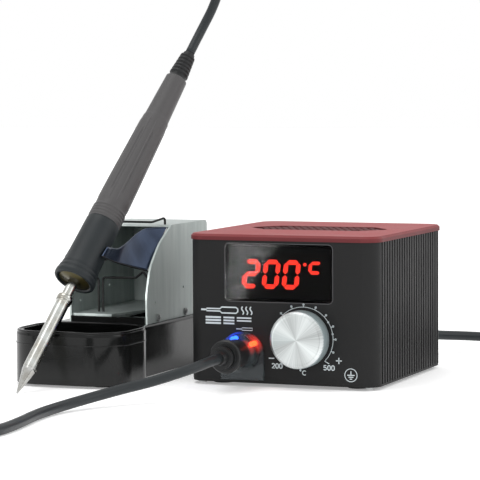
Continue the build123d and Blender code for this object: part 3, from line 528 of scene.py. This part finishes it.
def strokes(mark, x, z, size):
    """The lines of a small figure of the panel, one unit high, placed at x, z."""
    lines = {
        "0": [arc((0.3, 0.3), 0.3, 180, 360, 9).tolist() + arc((0.3, 0.7), 0.3, 0, 180,
            9).tolist() + [(0, 0.3)]],
        "2": [arc((0.3, 0.7), 0.3, 160, -40, 9).tolist() + [(0.0, 0.0), (0.62, 0.0)]],
        "5": [[(0.58, 1.0), (0.06, 1.0), (0.03, 0.56)] + arc((0.29, 0.31), 0.31, 110, -160, 11).tolist()],
        "C": [arc((0.36, 0.5), 0.36, 50, 310, 13).tolist()],
        "o": [arc((0.12, 0.86), 0.12, 0, 340, 10).tolist()],
        "+": [[(0, 0.5), (1, 0.5)], [(0.5, 0), (0.5, 1)]],
        "-": [[(0, 0.5), (1, 0.5)]],
    }[mark]
    return [np.array(line) * size + (x, z) for line in lines]


def dial_prints():
    """The dial round the knob: a line with dots and ticks, its two end figures, and the two signs."""
    parts = []
    sweep = arc(KNOB_SPOT, 18.1, 134, -44, 60)
    parts.append(ribbon(sweep, 0.3))
    for angle in np.linspace(134, -22, 8):
        inner, middle, outer = (arc(KNOB_SPOT, radius, angle, angle, 1)[0] for radius in (18.1, 19.6, 20.3))
        parts.append(ribbon([inner, outer], 0.42))
        parts.append(ribbon(arc(middle, 0.33, 0, 330, 12), 0.66, closed=True))
    for angle in (33, 10):
        middle = arc(KNOB_SPOT, 18.1, angle, angle, 1)[0]
        parts.append(ribbon(arc(middle, 0.3, 0, 330, 10), 0.6, closed=True))
    tip = sweep[-1]
    parts.append(ribbon([tip + (2.6, -1.4), tip, tip + (1.2, 1.6)], 0.5))
    figures = [("2", 52.7, 11.3), ("0", 55.0, 11.3), ("0", 57.3, 11.3), ("5", 84.4, 11.4),
        ("0", 86.8, 11.4), ("0", 89.2, 11.4)]
    for mark, x, z in figures:
        parts += [ribbon(line, 0.55) for line in strokes(mark, x, z, 2.6)]
    parts += [ribbon(line, 0.55) for line in strokes("o", 69.8, 7.9, 3.2) + strokes("C", 71.4, 7.5, 3.4)]
    parts += [ribbon(line, 0.6) for line in strokes("-", 50.7, 15.2, 3.4) + strokes("+", 91.8, 15.2, 3.5)]
    return merged("dial_prints", parts, "ceramic_white", STATION)


def panel_pictograms():
    """Plain generic pictograms: an iron with heat lines, a small iron over the socket, and an earth sign."""
    parts = []
    shaft = np.array([(12.0, 44.6), (20.5, 44.6), (21.5, 45.6), (30.5, 45.6), (31.6, 44.6),
        (31.6, 43.2), (30.5, 42.2),
                      (21.5, 42.2), (20.5, 43.2), (12.0, 43.2)])
    parts.append(ribbon(shaft, 0.75, closed=True))
    parts.append(ribbon([(12.0, 43.9), (8.6, 43.9)], 1.0))
    for x in (34.6, 37.2, 39.8):
        wave = np.c_[x + 0.6 * np.sin(np.linspace(0, 2 * pi, 14)), np.linspace(41.6, 46.2, 14)]
        parts.append(ribbon(wave, 0.7))
    for number, (first, last) in enumerate(((11.4, 21.0), (22.6, 29.4), (31.0, 40.0))):
        for z in (39.6, 37.9, 36.2)[: 3 - (number == 2)]:
            parts.append(ribbon([(first, z), (last, z)], 1.1 - 0.15 * number))
    parts.append(ribbon([(30.6, 33.2), (34.2, 33.2)], 0.45))
    parts.append(ribbon(np.array([(34.2, 33.9), (40.6, 33.9), (40.6, 32.5), (34.2, 32.5)]), 0.38,
        closed=True))
    for width, z in ((4.4, 9.0), (2.9, 7.9), (1.4, 6.8)):
        parts.append(ribbon([(100.8 - width / 2, z), (100.8 + width / 2, z)], 0.55))
    parts.append(ribbon([(100.8, 9.0), (100.8, 11.3)], 0.55))
    parts.append(ribbon(arc((100.8, 9.0), 3.7, 0, 350, 30), 0.4, closed=True))
    return merged("panel_pictograms", parts, "ceramic_white", STATION)


def rounded_outline(centre, width, height, radius, steps=8):
    """The outline of a rectangle with round corners, anticlockwise from its lower right corner."""
    corners = []
    for number, (sx, sz) in enumerate(((1, -1), (1, 1), (-1, 1), (-1, -1))):
        middle = (centre[0] + sx * (width / 2 - radius), centre[1] + sz * (height / 2 - radius))
        corners.append(arc(middle, radius, -90 + 90 * number, 90 * number, steps))
    return np.vstack(corners)


def window_frame():
    """The window's bevelled edge: a thin pale line inside its opening, a painted highlight where the bevel
    catches the light.
    """
    outline = rounded_outline((56.85, 66.1), 66.3, 33.8, 2.9)
    piece = merged("window_bevel_highlight", [ribbon(outline, 0.28, out=-0.04, thick=0.1, closed=True)],
        "case_black", STATION)
    # Painted highlight: a pale grey copy of the case's black along the bevel.
    piece.data.materials[0] = finish("bevel_painted_highlight", (0.10, 0.10, 0.105), rough=0.35, coat=0.0)
    return piece


# ---------------------------------------------------------------- turned pieces
def knob_face_painted_sheen(spot):
    """Spun aluminium with a painted reflection: the colour changes with the angle round the knob's axis, as
    light and dark wedges with fine streaks in them that stand in for the fan of highlights spun metal
    reflects."""
    made = finish("knob_spun_painted_sheen", (0.62, 0.66, 0.66), rough=0.3, metal=0.8, coat=0.0, spread=0.06)
    tree = made.node_tree
    shade = tree.nodes["Principled BSDF"]
    where = tree.nodes.new("ShaderNodeTexCoord")
    shift = tree.nodes.new("ShaderNodeVectorMath")
    shift.operation = "SUBTRACT"
    shift.inputs[1].default_value = tuple(spot)
    tree.links.new(where.outputs["Object"], shift.inputs[0])
    flat = tree.nodes.new("ShaderNodeMapping")
    flat.inputs["Rotation"].default_value = (radians(90), 0, 0)
    tree.links.new(shift.outputs["Vector"], flat.inputs["Vector"])
    turn = tree.nodes.new("ShaderNodeTexGradient")
    turn.gradient_type = "RADIAL"
    tree.links.new(flat.outputs["Vector"], turn.inputs["Vector"])
    # Painted reflection: light and dark wedges round the axis in place of the spun metal's highlights.
    sheen_wedges = tree.nodes.new("ShaderNodeValToRGB")
    ramp = sheen_wedges.color_ramp
    ramp.elements[0].color = ramp.elements[1].color = (0.55, 0.60, 0.60, 1)
    for place, value in ((0.1, 0.80), (0.2, 0.50), (0.33, 0.74), (0.46, 0.46), (0.6, 0.82), (0.7, 0.52),
        (0.83, 0.72), (0.93, 0.48)):
        ramp.elements.new(place).color = (value * 0.95, value, value * 0.995, 1)
    tree.links.new(turn.outputs["Color"], sheen_wedges.inputs["Fac"])
    streaks = tree.nodes.new("ShaderNodeTexNoise")
    streaks.noise_dimensions = "1D"
    streaks.inputs["Scale"].default_value = 90.0
    streaks.inputs["Detail"].default_value = 4.0
    tree.links.new(turn.outputs["Fac"], streaks.inputs["W"])
    blend = tree.nodes.new("ShaderNodeMix")
    blend.data_type = "RGBA"
    blend.blend_type = "OVERLAY"
    blend.inputs["Factor"].default_value = 0.35
    tree.links.new(sheen_wedges.outputs["Color"], blend.inputs["A"])
    tree.links.new(streaks.outputs["Fac"], blend.inputs["B"])
    tree.links.new(blend.outputs["Result"], shade.inputs["Base Color"])
    return made


def knob_shell():
    """The knob: a dished, finely ringed face, a bright chamfer and a knurled side r = r0 + k |sin 60 a|.  The
    face and chamfer carry the painted sheen; the side gets a darker, less metallic copy of the aluminium as
    painted shade.
    """
    outline = [(0.8, 12.6), (0.8, 15.6), (1.2, 16.1), (1.8, 16.2), (10.6, 16.2), (11.2, 16.0),
        (11.3, 15.6), (12.5, 14.9), (12.5, 14.5)]
    outline += [(12.36 - 0.04 * (k % 2), 14.2 - 0.28 * k) for k in range(50)] + [(12.3, 0.01)]

    def knurl(along, turn, radius):
        side = (along > 1.5) & (along < 10.8)
        return radius + np.where(side, 0.3 * np.abs(np.sin(60 * turn)), 0)

    spot = at(KNOB_SPOT[0], 0, KNOB_SPOT[1])
    piece = turned("knob_shell", spot, (0, -1, 0), outline, "knob_aluminium", KNOB, sides=480,
        radius_at=knurl)
    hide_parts("knob")
    piece.data.materials[0] = knob_face_painted_sheen(spot)
    # Painted shade: the knurled side gets a darker, less metallic copy of the aluminium.
    side = finish("knob_side_painted_shade", (0.30, 0.36, 0.37), rough=0.5, metal=0.25, coat=0.0, spread=0.06)
    piece.data.materials.append(side)
    height = np.array([spot[1] - face.center.y for face in piece.data.polygons]) / MM
    lifts = np.array([abs(face.normal.y) for face in piece.data.polygons])
    piece.data.polygons.foreach_set("material_index",
        ((height < 15.0) & (lifts < 0.5) & (height > 0)).astype(int))
    return piece


def iron_turned(name, outline, slot, sides=96, radius_at=None):
    """A turned piece on the iron's axis, with places along it measured from the tip."""
    return turned(name, IRON_TIP, IRON_WAY, outline, slot, IRON, sides, radius_at)


def step_up(value, low, high):
    """0 below low, 1 above high, and the smooth cubic between."""
    part = np.clip((value - low) / (high - low), 0, 1)
    return part * part * (3 - 2 * part)


def handle():
    """The handle: four ring bands, then grip panels with long grooves, r = r0 + panel - groove(8 a)."""
    bands = np.arange(120.5, 130.51, 0.25)
    grip = np.arange(131.0, 198.1, 1.0)
    upper = np.arange(198.6, 230.1, 1.2)
    along = np.r_[bands, grip, upper]
    base = np.interp(along, [120.5, 129.5, 150, 198, 199.5, 230], [10.4, 10.15, 9.75, 8.45, 8.0, 7.0])
    ring = 0.42 * np.abs(np.sin(pi * (along - 121.4) / 2.1)) * (along > 121.4) * (along < 129.8)
    outline = [(120.5, 5.4)] + list(zip(along, base - 0.35 + ring)) + [(230.1, 5.5)]

    def panels(place, turn, radius):
        length = step_up(place, 131.5, 135.5) * (1 - step_up(place, 192.0, 197.0))
        raised = 0.32 * step_up(np.cos(4 * turn + 0.6), -0.72, -0.5)
        groove = 0.42 * step_up(np.cos(8 * turn + 1.2 + pi), 0.86, 0.96) * step_up(place, 138,
            141) * (1 - step_up(place, 184, 188))
        return radius + length * raised - length * groove * (raised > 0.2)

    piece = iron_turned("handle_body", outline, "handle_grey", sides=288, radius_at=panels)
    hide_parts("handle_shell")
    return piece


def iron_boot():
    """The cable's boot: ribs along a taper, r = taper + rib(along), open slots between them on two sides."""
    along = np.r_[np.arange(229.8, 250.0, 0.3), 250.0]
    taper = np.interp(along, [229.8, 232.5, 250], [6.2, 5.5, 3.9])
    rib = 0.85 * (np.abs(((along - 233.0) / 2.6) % 1 - 0.5) < 0.29) * (along > 233) * (along < 249)
    outline = [(226, 4.6), (229.4, 4.6)] + list(zip(along, taper - 0.3 + rib)) + [(250.0, 2.95)]
    piece = iron_turned("iron_boot", outline, "boot_black", sides=64)
    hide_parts("iron_strain_relief")
    return piece


def collar():
    """The collar in front of the handle: a flared mouth with a stepped rim, two grooves, a long sleeve."""
    outline = [(86.0, 3.35), (86.0, 8.3), (80.0, 9.5), (78.4, 10.0), (78.0, 10.8), (78.1, 11.9),
        (78.8, 12.55), (80.2, 12.7), (81.6, 12.6)]
    outline += [(82.2, 12.1), (82.6, 11.9), (83.2, 12.1), (84.6, 12.0), (85.2, 11.6), (85.6, 11.35),
        (86.2, 11.5), (88.0, 11.3), (89.5, 11.0)]
    outline += [(95, 10.85), (105, 10.65), (115, 10.45), (119.6, 10.35), (120.4, 10.1), (120.5, 3.35)]
    piece = iron_turned("grip_collar", outline, "collar_rubber", sides=128)
    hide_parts("front_collar")
    liner = [(78.9, 9.75), (79.4, 9.9), (85.9, 8.35), (85.95, 3.5), (85.4, 3.5), (85.2, 7.9), (79.0, 9.3)]
    inside = iron_turned("collar_liner", liner, "barrel_steel", sides=96)
    inside.data.materials[0] = finish("liner_olive", (0.075, 0.062, 0.02), rough=0.3, metal=0.6,
        mottle=0.8, mottle_size=180)
    return piece


def barrel_rings():
    """Two rolled rings at the barrel's upper end, with a bright lip."""
    outline = [(62.4, 4.0), (62.7, 4.35), (63.2, 4.45), (63.6, 4.35), (63.9, 4.12), (64.2, 4.6),
        (64.6, 4.85), (66.4, 4.85), (66.9, 4.6), (67.2, 3.3)]
    return iron_turned("barrel_ring", outline, "barrel_steel", sides=64)


# ---------------------------------------------------------------- lid
def lid_vent():
    """The lid's vent: a lattice of low six-sided studs in the long recess, a thin six-sided plate on the
    recess floor, and a thin line at each end.  The studs and plate are painted shade, dark maroon for the
    shaded recess and its openings; the two pale lines are painted highlights along the recess's ends.
    """
    centre = at(58.0, 65.0, 0) + np.array([0, 0, LID_TOP - MM])
    pitch, radius, height = 4.3, 1.9, 0.85
    parts = []
    turn = np.radians(np.arange(0, 360, 60) + 30)
    for row in range(-3, 4):
        for column in range(-10, 11):
            x, y = (column + 0.5 * (row % 2)) * pitch, row * pitch * 0.866 * 1.15
            if abs(x) > 42 - abs(y) * 14 / 17 - 3.6 or abs(y) > 15.2:
                continue
            rings = [(radius, 0.0), (radius, height - 0.25), (radius - 0.3, height)]
            points = [np.c_[x + r * np.cos(turn), y + r * np.sin(turn), np.full(6, z)] for r, z in rings]
            parts.append((centre + np.vstack(points) * MM, grid_faces(3, 6)))
    corners = np.array([(-43.7, 0), (-29.85, -16.8), (29.85, -16.8), (43.7, 0), (29.85, 16.8),
        (-29.85, 16.8)])
    plate = [np.c_[corners, np.full(6, z)] for z in (0.0, 0.12)]
    parts.append((centre + np.vstack(plate) * MM, grid_faces(2, 6)))
    piece = merged("lid_vent", parts, "lid_red", STATION)
    # Painted shade: the studs and the floor plate are dark maroon, in place of the shade in the recess and
    # its openings.
    piece.data.materials[0] = finish("vent_painted_shade", (0.10, 0.017, 0.019), rough=0.6, coat=0.0,
        spec=0.25, grain=0.3, mottle=0.5)
    # Painted highlight: two pale rose lines along the recess's pointed ends.
    lines = []
    for side in (-1, 1):
        start, end = np.array([side * 42.0, 0, 1.0]), np.array([side * 52.5, 0, 1.0])
        ring = [start + (0, -0.3, 0), start + (0, 0.3, 0), start + (0, 0.3, 0.12), start + (0, -0.3, 0.12)]
        far = [end + (0, -0.3, 0), end + (0, 0.3, 0), end + (0, 0.3, 0.12), end + (0, -0.3, 0.12)]
        lines.append((centre + np.array(ring + far) * MM, grid_faces(2, 4)))
    lines = merged("lid_highlight_lines", lines, "ceramic_white", STATION)
    lines.data.materials[0] = finish("line_painted_highlight", (0.50, 0.16, 0.16), rough=0.5, coat=0.0)
    return piece


# ---------------------------------------------------------------- stand
def loop_sweep(name, outline, section, slot, smooth=True):
    """A closed bead: the section (out, up) carried round a closed outline, with out across the outline."""
    outline = np.asarray(outline, float)
    step = np.roll(outline, -1, axis=0) - np.roll(outline, 1, axis=0)
    out = np.c_[step[:, 1], -step[:, 0]] / np.linalg.norm(step[:, :2], axis=1)[:, None]
    section = np.asarray(section, float)
    points = np.zeros((len(outline), len(section), 3))
    points[..., :2] = outline[:, None, :2] + out[:, None] * section[None, :, :1]
    points[..., 2] = outline[:, None, 2] + section[None, :, 1]
    rows, columns = len(outline), len(section)
    faces = grid_faces(rows, columns, caps=False)
    last = (rows - 1) * columns
    faces += [[last + k, last + (k + 1) % columns, (k + 1) % columns, k] for k in range(columns)]
    return new_piece(name, CORNER + points.reshape(-1, 3) * MM, faces, slot, STATION, smooth)


def stand_base_trim():
    """The rim bead of the tub, a ledge line round its outside, and the well's dull liner."""
    rim = rounded_outline((-62.0, -14.4), 69.4, 55.2, 19.7, 14)
    circle = arc((0, 0), 0.95, 0, 330, 12)
    loop_sweep("tub_rim", np.c_[rim, np.full(len(rim), 31.7)], circle, "base_black")
    outside = rounded_outline((-62.0, -14.4), 71.9, 57.7, 20.95, 14)
    ledge = [(-0.3, -0.5), (0.35, -0.2), (0.35, 0.3), (-0.3, 0.5)]
    loop_sweep("tub_ledge", np.c_[outside, np.full(len(outside), 24.6)], ledge, "base_black")
    floor = rounded_outline((-62.0, -14.4), 63.4, 49.2, 16.7, 12)
    top = np.c_[floor, np.full(len(floor), 5.9)]
    bottom = np.c_[floor, np.full(len(floor), 5.6)]
    points = CORNER + np.vstack([bottom, top]) * MM
    new_piece("well_liner", points, grid_faces(2, len(floor)), "base_black", STATION, False)


SCREW_Z = 34.6
HEAD_R, HEAD_H, HEAD_SIDES = 2.2, 1.35, 48
SLOT, SLOT_DEPTH = 0.36, 0.55  # half the slot's width, and its depth


def screw_head(centre, way, turn):
    """A slotted screw head: height = dome(r), lowered inside the slot |x| < SLOT."""
    way, side, up = across(way)
    radius = np.r_[np.linspace(0, HEAD_R - 0.1, 15)[1:], HEAD_R]
    angle = np.linspace(0, 2 * pi, HEAD_SIDES, endpoint=False)
    r, a = np.meshgrid(radius, angle, indexing="ij")
    x, y = r * np.cos(a), r * np.sin(a)
    height = HEAD_H - 0.13 * r**2
    height = np.where(np.abs(x) < SLOT, height - SLOT_DEPTH, height)
    height[-1] = 0.0
    spin = np.array([[cos(turn), -sin(turn)], [sin(turn), cos(turn)]])
    flat = np.stack([x, y], axis=-1) @ spin.T
    points = centre + (flat[..., :1] * side + flat[..., 1:] * up + height[..., None] * way) * MM
    return points.reshape(-1, 3), grid_faces(len(radius), HEAD_SIDES)


def bracket_screw_heads():
    """The four screws that hold the bracket, with their slots turned different ways."""
    parts = []
    for face_x, way in ((WALL_LEFT, (-1, 0, 0)), (WALL_RIGHT, (1, 0, 0))):
        for y, turn in ((73, 0.1), (32, 1.0)):
            parts.append(screw_head(at(face_x, y, SCREW_Z), way, turn))
    piece = merged("bracket_screw_heads", parts, "screw_steel", STATION, smooth=True)
    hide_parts("bracket_screws")
    return piece


CRADLE_T = 0.7
CRADLE_ROWS, CRADLE_COLUMNS = 25, 161


def cradle():
    """The cradle: one bent sheet ruled between a lower and an upper bent edge.  Each edge is a smooth line
    from a wall, down the wing, round the groove and back up the other wing."""
    way, right = IRON_WAY, np.cross(IRON_WAY, (0, 0, 1))
    right /= np.linalg.norm(right)
    up = np.cross(right, way)
    tip = np.array(TIP)

    def edge(slope, level, wing):
        points = [(WALL_RIGHT - SHEET - inset, y, level - slope * y) for inset, y in wing]
        for angle in (14, -10, -34, -58, -82, -106, -130, -154, -178, -202):
            reach = 12.0 + (1.6 if angle in (14, -202) else 0)
            start = tip + (right * cos(radians(angle)) + up * sin(radians(angle))) * reach
            tilt = np.array([0, slope, 1.0])
            points.append(tuple(start + way * ((level - tilt @ start) / (tilt @ way))))
        points += [(WALL_LEFT + SHEET + inset, y, level - slope * y) for inset, y in reversed(wing)]
        line = smooth_line(points, 12)
        along = np.r_[0, np.cumsum(np.linalg.norm(np.diff(line, axis=0), axis=1))]
        even = np.linspace(0, 1, CRADLE_COLUMNS)
        return np.c_[[np.interp(even, along / along[-1], line[:, k]) for k in range(3)]].T

    low_edge = edge(0.28, 69.6, [(1.0, 22), (4.0, 17), (8.0, 8), (11.5, -4)])
    high_edge = edge(0.0, 87.4, [(1.0, 51), (6.5, 47), (11.5, 38), (13.5, 24)])
    along = np.linspace(0, 1, CRADLE_COLUMNS)
    dip = 1 - 0.62 * step_up(0.5 - np.abs(along - 0.5), 0.07, 0.25)[None, :, None]
    t = np.linspace(0, 1, CRADLE_ROWS)[:, None, None] * dip
    points = (1 - t) * low_edge + t * high_edge
    sheet = new_piece("cradle_plate", CORNER + points.reshape(-1, 3) * MM,
        grid_faces(CRADLE_ROWS, CRADLE_COLUMNS, wrap=False), "cradle_steel", STATION)
    wall = sheet.modifiers.new("wall", "SOLIDIFY")
    wall.thickness = CRADLE_T * MM
    wall.offset = 0.0
    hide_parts("cradle_sheet")
    # Painted shade: the lower hem is black, a dark line along the sheet's lower edge; the upper hem keeps the
    # sheet's steel.
    for name, edge_line in (("cradle_low_hem_shade", low_edge), ("cradle_high_hem", points[-1])):
        tube(name, CORNER + edge_line * MM, 0.45 * MM,
            "wire_black" if "low" in name else "cradle_steel", STATION, 10)
    # Painted highlight: the side hem along the rounded fold is bright chrome, brighter than the sheet, on top
    # of its real metal reflection.
    tube("cradle_side_hem_highlight", CORNER + points[:, 0] * MM, 0.6 * MM, "tip_chrome", STATION, 12)
    return sheet


def lamp_glow():
    """The clear bezel glows near its two lamps: emission falls off with the distance to each lamp."""
    made = bpy.data.materials.new("bezel_glow")
    made.use_nodes = True
    tree = made.node_tree
    shade = tree.nodes["Principled BSDF"]
    shade.inputs["Base Color"].default_value = (0.10, 0.12, 0.13, 1.0)
    shade.inputs["Roughness"].default_value = 0.07
    shade.inputs["Alpha"].default_value = 0.4
    shade.inputs["Coat Weight"].default_value = 0.5
    shade.inputs["Emission Strength"].default_value = 1.6
    where = tree.nodes.new("ShaderNodeTexCoord")
    glows = []
    for place, colour, reach in (((30.3, -4.0, 27.7), (0.01, 0.06, 1.0), 7.5),
        ((42.0, -4.0, 25.2), (1.0, 0.03, 0.01), 7.5)):
        away = tree.nodes.new("ShaderNodeVectorMath")
        away.operation = "DISTANCE"
        away.inputs[1].default_value = tuple(at(*place))
        tree.links.new(where.outputs["Object"], away.inputs[0])
        fall = tree.nodes.new("ShaderNodeMapRange")
        fall.interpolation_type = "SMOOTHSTEP"
        fall.inputs["From Min"].default_value = reach * MM
        fall.inputs["From Max"].default_value = 1.5 * MM
        tree.links.new(away.outputs["Value"], fall.inputs["Value"])
        tint = tree.nodes.new("ShaderNodeMix")
        tint.data_type = "RGBA"
        tint.inputs["A"].default_value = (0, 0, 0, 1)
        tint.inputs["B"].default_value = (*colour, 1)
        tree.links.new(fall.outputs["Result"], tint.inputs["Factor"])
        glows.append(tint.outputs["Result"])
    both = tree.nodes.new("ShaderNodeMix")
    both.data_type = "RGBA"
    both.blend_type = "ADD"
    both.inputs["Factor"].default_value = 1.0
    tree.links.new(glows[0], both.inputs["A"])
    tree.links.new(glows[1], both.inputs["B"])
    tree.links.new(both.outputs["Result"], shade.inputs["Emission Color"])
    made.surface_render_method = "BLENDED"
    NODES["socket_bezel"].data.materials.clear()
    NODES["socket_bezel"].data.materials.append(made)


IRON_TIP = at(*TIP)
dress_nodes()
place_camera()
studio()
iron_cable()
mains_cord()
dial_prints()
panel_pictograms()
window_frame()
knob_shell()
handle()
iron_boot()
collar()
barrel_rings()
lid_vent()
stand_base_trim()
bracket_screw_heads()
cradle()
lamp_glow()
window_gloss()
stand_light()
